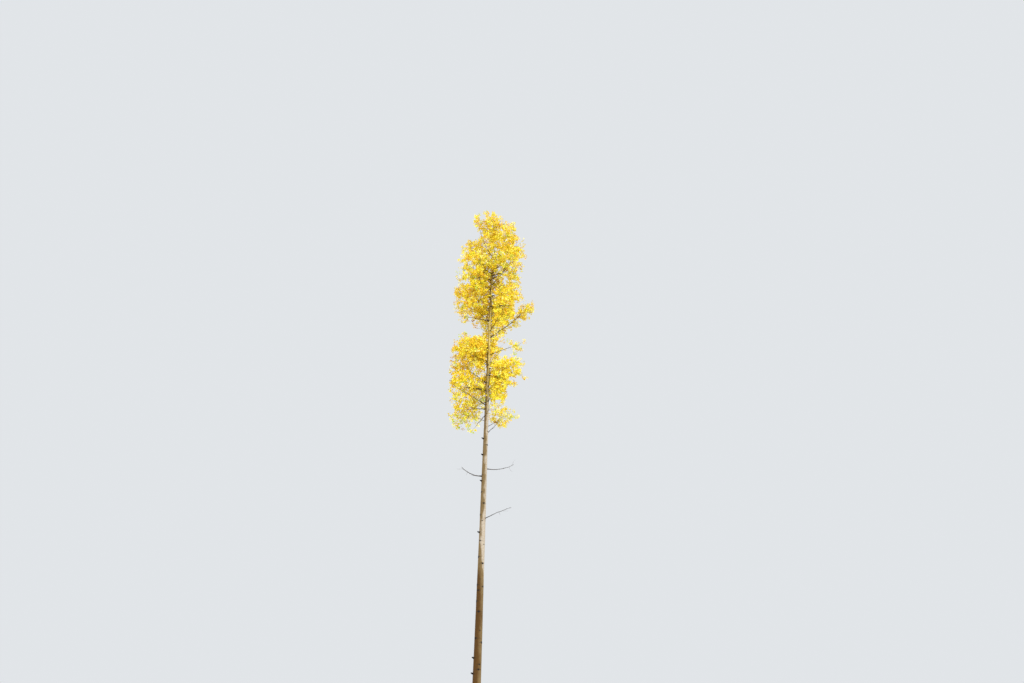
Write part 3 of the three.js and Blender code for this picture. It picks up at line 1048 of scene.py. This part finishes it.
def slim_boughs(boughs, rng):
    """Foot height, heading, reach and rise of each slim limb, turned from one to the next and clear of the
    boughs."""
    rows = []
    height, heading = SLIM_LOWEST, 0.0
    while height < SLIM_HIGHEST:
        heading += math.degrees(GOLDEN_ANGLE) + rng.normal(0, SLIM_TURN_SPREAD)
        near = [row[1] for row in boughs.values() if abs(row[0] - height) < SLIM_CLEAR_HEIGHT]
        while any(abs((heading - other + 180) % 360 - 180) < SLIM_CLEAR_TURN for other in near):
            heading += SLIM_SIDESTEP
        reach = rng.uniform(*SLIM_REACH) * min(1, (TRUNK_TIP - height) / SLIM_TAPER)
        rows.append((height, heading, reach, reach * rng.uniform(*SLIM_SLOPE)))
        height += SLIM_STEP * rng.uniform(*SLIM_STEP_SPREAD)
    return rows


def slim_limb(row, thick, thins, sprays, heap, wood, rng):
    """Adds one slim limb, and returns its leafy stretch and the places of its sprays."""
    line = crooked(evenly(bough_line(*row), SLIM_LINE_STEP), rng, SLIM_CROOKED)
    share = np.linspace(0, 1, len(line))
    first = min(thick, BOUGH_TO_TRUNK * trunk_radius(row[0]))
    radii = first * (1 - thins * share) * (1 - FINE_TIP * share**FINE_TIP_POWER)
    add_limb(heap, line, radii, row[0])
    leafy = share > SLIM_BARE
    axis = line[leafy]
    count = rng.integers(*sprays)
    places = axis[rng.integers(len(axis), size=count)]
    places = places + rng.normal(0, SLIM_SPREAD, (count, 3)) + SLIM_LIFT * UP
    places = places[clear_of_sky(places) & in_box(places, -BOX_INSET)]
    places = np.array([p for p, pixel in zip(places, seen_at(places)) if not hides_wood(p, pixel, wood)])
    return axis, ways_along(line)[leafy], radii[leafy], places.reshape(-1, 3)


def dead_limb(row, thick, heap, rng):
    """A dead limb with a few short broken twigs."""
    line = crooked(evenly(bough_line(*row), DEAD_STEP), rng, DEAD_CROOKED)
    radii = thick * limb_radii(line, BOUGH_TIP_SHARE, rng)
    add_limb(heap, line, radii, row[0])
    ways = ways_along(line)
    steps = np.linspace(0, 1, CURVE_POINTS)
    leave, arrive = DEAD_TWIG_BENDS
    for share in np.linspace(*DEAD_TWIGS):
        k = round(share * (len(line) - 1))
        way = unit(ways[k] + rng.normal(0, DEAD_TWIG_SPREAD, 3))
        length = rng.uniform(*DEAD_TWIG_LENGTH)
        end = line[k] + way * length
        bends = line[k] + way * length * leave, end - unit(way + UP * DEAD_TWIG_UP) * length * arrive
        curve = np.array([line[k], *bends, end])
        thin = np.linspace(radii[k] * DEAD_TWIG_SHARE, DEAD_TWIG_END, CURVE_POINTS)
        add_tubes(heap, cubic(curve, steps)[None], thin[None], DEAD_TWIG_SIDES)


def add_stubs(heap, rng):
    """Short dead stubs in some of the scars at the trunk's edge."""
    along, wide = np.array(STUB_OUTLINE).T
    for height, heading in SEEN_SCARS:
        if height in STUBS:
            way = heading_way(heading)
            start = trunk_centre(height) + way * trunk_radius(height) * STUB_START
            line = start + along[:, None] * (way + STUB_RISE * UP) * rng.uniform(*STUB_LENGTH)
            line[-1] += STUB_SLANT * STUB_RADIUS * UP
            add_tubes(heap, line[None], STUB_RADIUS * wide[None], STUB_SIDES, STUB_SLOT)


def leader_axis(node):
    low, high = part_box(node)
    below, above = LEADER_GAPS
    heights = np.arange(low.z + below, min(high.z, TRUNK_TIP - above), LEADER_STEP)
    line = trunk_centre(heights)
    return line, ways_along(line), trunk_radius(heights)


# Leaves

def blade_outline():
    """Points of one leaf, (along, across, above) in blade lengths, and its faces. Point 0 is where the stalk
    joins, 1 the middle, 2 the tip, then one side and the other."""
    side = [(a, w, BLADE_FOLD * w - BLADE_CUP * BLADE_SIDE_CUP) for a, w in BLADE_SIDE]
    other = [(a, -w, h) for a, w, h in side]
    points = [(0, 0, 0), (BLADE_MIDDLE, 0, -BLADE_CUP), (1, 0, -BLADE_CUP * BLADE_TIP_CUP), *side, *other]
    count = len(side)
    left = [0, *range(3, 3 + count), 2]
    right = [0, *range(3 + count, 3 + 2 * count), 2]
    faces = [(1, b, a) for a, b in zip(left, left[1:])] + [(1, a, b) for a, b in zip(right, right[1:])]
    return np.array(points, float), np.array(faces)


def add_leaves(heap, places, twig_ways, turns, slots, rng):
    """Leaves on long stalks round their twigs, hanging and turned every way."""
    count = len(places)
    helper = unit(np.cross(twig_ways, UP + 1e-3))
    other = np.cross(twig_ways, helper)
    radial = helper * np.cos(turns)[:, None] + other * np.sin(turns)[:, None]
    stalk = STALK_ALONG * twig_ways + radial + rng.normal(0, STALK_SPREAD, (count, 3)) - STALK_DROP * UP
    stalk = unit(stalk)
    base = places + stalk * rng.uniform(*STALK_LENGTH, (count, 1))
    size = rng.uniform(*BLADE_LENGTH, (count, 1))
    along = unit(BLADE_ALONG * stalk - BLADE_DROP * UP + rng.normal(0, BLADE_SPREAD, (count, 3)))
    face = rng.normal(0, 1, (count, 3)) + FACE_UP * UP
    face = unit(face - dot(face, along) * along)
    across = np.cross(face, along)
    points, faces = blade_outline()
    local = points[None] * size[:, None]
    local[:, :, 2] *= rng.uniform(*FOLD_SPREAD, (count, 1))
    blade = base[:, None] + local[:, :, :1] * along[:, None] + local[:, :, 1:2] * across[:, None]
    blade = blade + local[:, :, 2:] * face[:, None]
    thin = across * STALK_WIDTH / 2
    corners = np.concatenate([blade, (places + thin)[:, None], (places - thin)[:, None]], 1)
    fits = in_box(corners, BOX_MARGIN).all(1)
    faces = np.concatenate([faces, [(0, len(points), len(points) + 1)]])
    heap.add(corners[fits], faces, slots[fits])


def tint_chances(name):
    """The chance of each tint in one mass."""
    more = next((more for masses, more in MORE_TINTS if name in masses), {})
    chances = np.array([share + more.get(tint, 0) for tint, (share, _) in TINTS.items()])
    return chances / chances.sum()


def leaf_up(curves, name, heap, rng):
    """Deals out leaves on the outer stretch of every twig, with one tint for each spray."""
    steps = np.tile(np.linspace(0, 1, CURVE_POINTS), (len(curves), 1))
    length = norm(np.diff(cubic(curves, steps), axis=1), axis=2).sum(1)
    numbers = rng.integers(*LEAVES_PER_SPRAY, len(curves), endpoint=True)
    spray = np.repeat(np.arange(len(curves)), numbers)
    order = np.concatenate([np.arange(n) for n in numbers])
    bare = np.clip(1 - LEAFY_LENGTH / length, 0.0, 1)[spray]
    at = bare + (1 - bare) * (order + FIRST_LEAF) / numbers[spray]
    places = cubic(curves[spray], at[:, None])[:, 0]
    ways = cubic_way(curves[spray], at[:, None])[:, 0]
    turns = order * GOLDEN_ANGLE + rng.random(len(curves))[spray] * 2 * np.pi
    tints = rng.choice(len(TINTS), len(curves), p=tint_chances(name))
    add_leaves(heap, places, ways, turns, tints[spray], rng)


# Put the tree together

def band_at(height):
    return [band for band, floor in BANDS.items() if height >= floor][-1]


def settle(made, slot, *nodes):
    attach(made, "root")
    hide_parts(*nodes)


def build_tree():
    boughs = all_boughs()
    rng = np.random.default_rng(SEED)
    limbs, dead = Heap(), Heap()
    leaves, twigs = {band: Heap() for band in BANDS}, {band: Heap() for band in BANDS}
    nodes = {band: [] for band in BANDS}
    wood = seen_wood()

    def fill(band, name, axis, ways, radii, places):
        """Grows twigs from an axis to the places of its sprays, and leaves on them."""
        if not len(places):
            return
        curves, first, last = grow(axis, ways, radii, places, rng)
        steps = np.tile(np.linspace(0, 1, PATH_STEPS), (len(curves), 1))
        radii = first[:, None] + (last - first)[:, None] * steps
        add_tubes(twigs[band], cubic(curves, steps), radii, TWIG_SIDES, (first < YOUNG_TWIG).astype(int))
        leaf_up(curves, name, leaves[band], rng)

    for name in [*LEADERS, *boughs]:
        node = "leaves_" + name
        tree = BVHTree.FromPolygons(*mass_surface(node))
        if name in LEADERS:
            axis, ways, radii = leader_axis(node)
        else:
            axis, ways, radii = leafy_bough(tree, boughs[name][:4], limbs, rng)
        full = LEADERS.get(name) or boughs[name][4]
        count = round(SPRAYS_PER_VOLUME * mass_volume(node) ** VOLUME_POWER * full)
        places = spray_places(node, tree, axis, count, wood, rng)
        low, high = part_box(node)
        band = band_at((low.z + high.z) / 2)
        nodes[band].append(node)
        fill(band, name, axis, ways, radii, places)
    feet = [(row[:4], bough_radius(row[0], math.hypot(*row[2:4]))) for row in boughs.values()]
    for rows, kind in ((slim_boughs(boughs, rng), SLIM_KIND), (SEEN_LIMBS, SEEN_LIMB_KIND)):
        for row in rows:
            fill(band_at(row[0] + row[3]), "slim", *slim_limb(row, *kind, limbs, wood, rng))
            feet.append((row, kind[0]))
    add_stubs(dead, rng)
    for *row, thick in DEAD_BOUGHS.values():
        dead_limb(row, thick, dead, rng)
        feet.append((row[:4], thick))

    tints = [plain_material("leaf_" + name, colour, *LEAF_FINISH) for name, (_, colour) in TINTS.items()]
    twig_barks = [plain_material(name, *look) for name, look in TWIG_LOOKS.items()]
    for band in BANDS:
        settle(leaves[band].piece("foliage_" + band, tints, smooth=False), "leaves", *nodes[band])
        settle(twigs[band].piece("twigs_" + band, twig_barks), "bough_bark", *nodes[band])
    settle(limbs.piece("limbs", [bough_material()]), "bough_bark", *("bough_" + name for name in boughs))
    made = dead.piece("dead_limbs", [dead_material(name, *look) for name, look in DEAD_LOOKS.items()])
    settle(made, "dead_wood", *("bough_" + name for name in DEAD_BOUGHS))
    settle(trunk_mesh(rng, feet), "bark", "trunk")


# The stage: a pale floor, a pale even sky, and three soft lights like suns

def build_stage():
    turns = angles_round(FLOOR_SIDES)
    rim = [(FLOOR_RADIUS * math.cos(turn), FLOOR_RADIUS * math.sin(turn), 0) for turn in turns]
    mesh = bpy.data.meshes.new("floor")
    mesh.from_pydata(rim, [], [range(FLOOR_SIDES)])
    mesh.materials.append(plain_material("floor", *FLOOR_LOOK))
    floor = placed("floor", mesh)
    world = bpy.data.worlds.new("studio")
    world.use_nodes = True
    back = world.node_tree.nodes["Background"]
    back.inputs["Color"].default_value = (*SKY_COLOUR, 1)
    back.inputs["Strength"].default_value = SKY_STRENGTH
    bpy.context.scene.world = world
    for name, (way, strength, width, colour) in LIGHTS.items():
        light = bpy.data.lights.new(name, "SUN")
        light.energy, light.angle, light.color = strength, math.radians(width), colour
        placed(name, light).rotation_euler = Vector(way).to_track_quat("Z", "Y").to_euler()


def build_camera():
    camera = placed("camera", bpy.data.cameras.new("camera"))
    camera.data.lens = LENS * 1000
    camera.data.sensor_width = SENSOR * 1000
    camera.data.clip_end = CLIP_END
    camera.location = CAMERA_PLACE
    camera.rotation_euler = (math.radians(90 + CAMERA_TILT), 0, 0)
    bpy.context.scene.camera = camera


build_camera()
build_stage()
build_tree()
bpy.context.scene.view_settings.view_transform = "Standard"
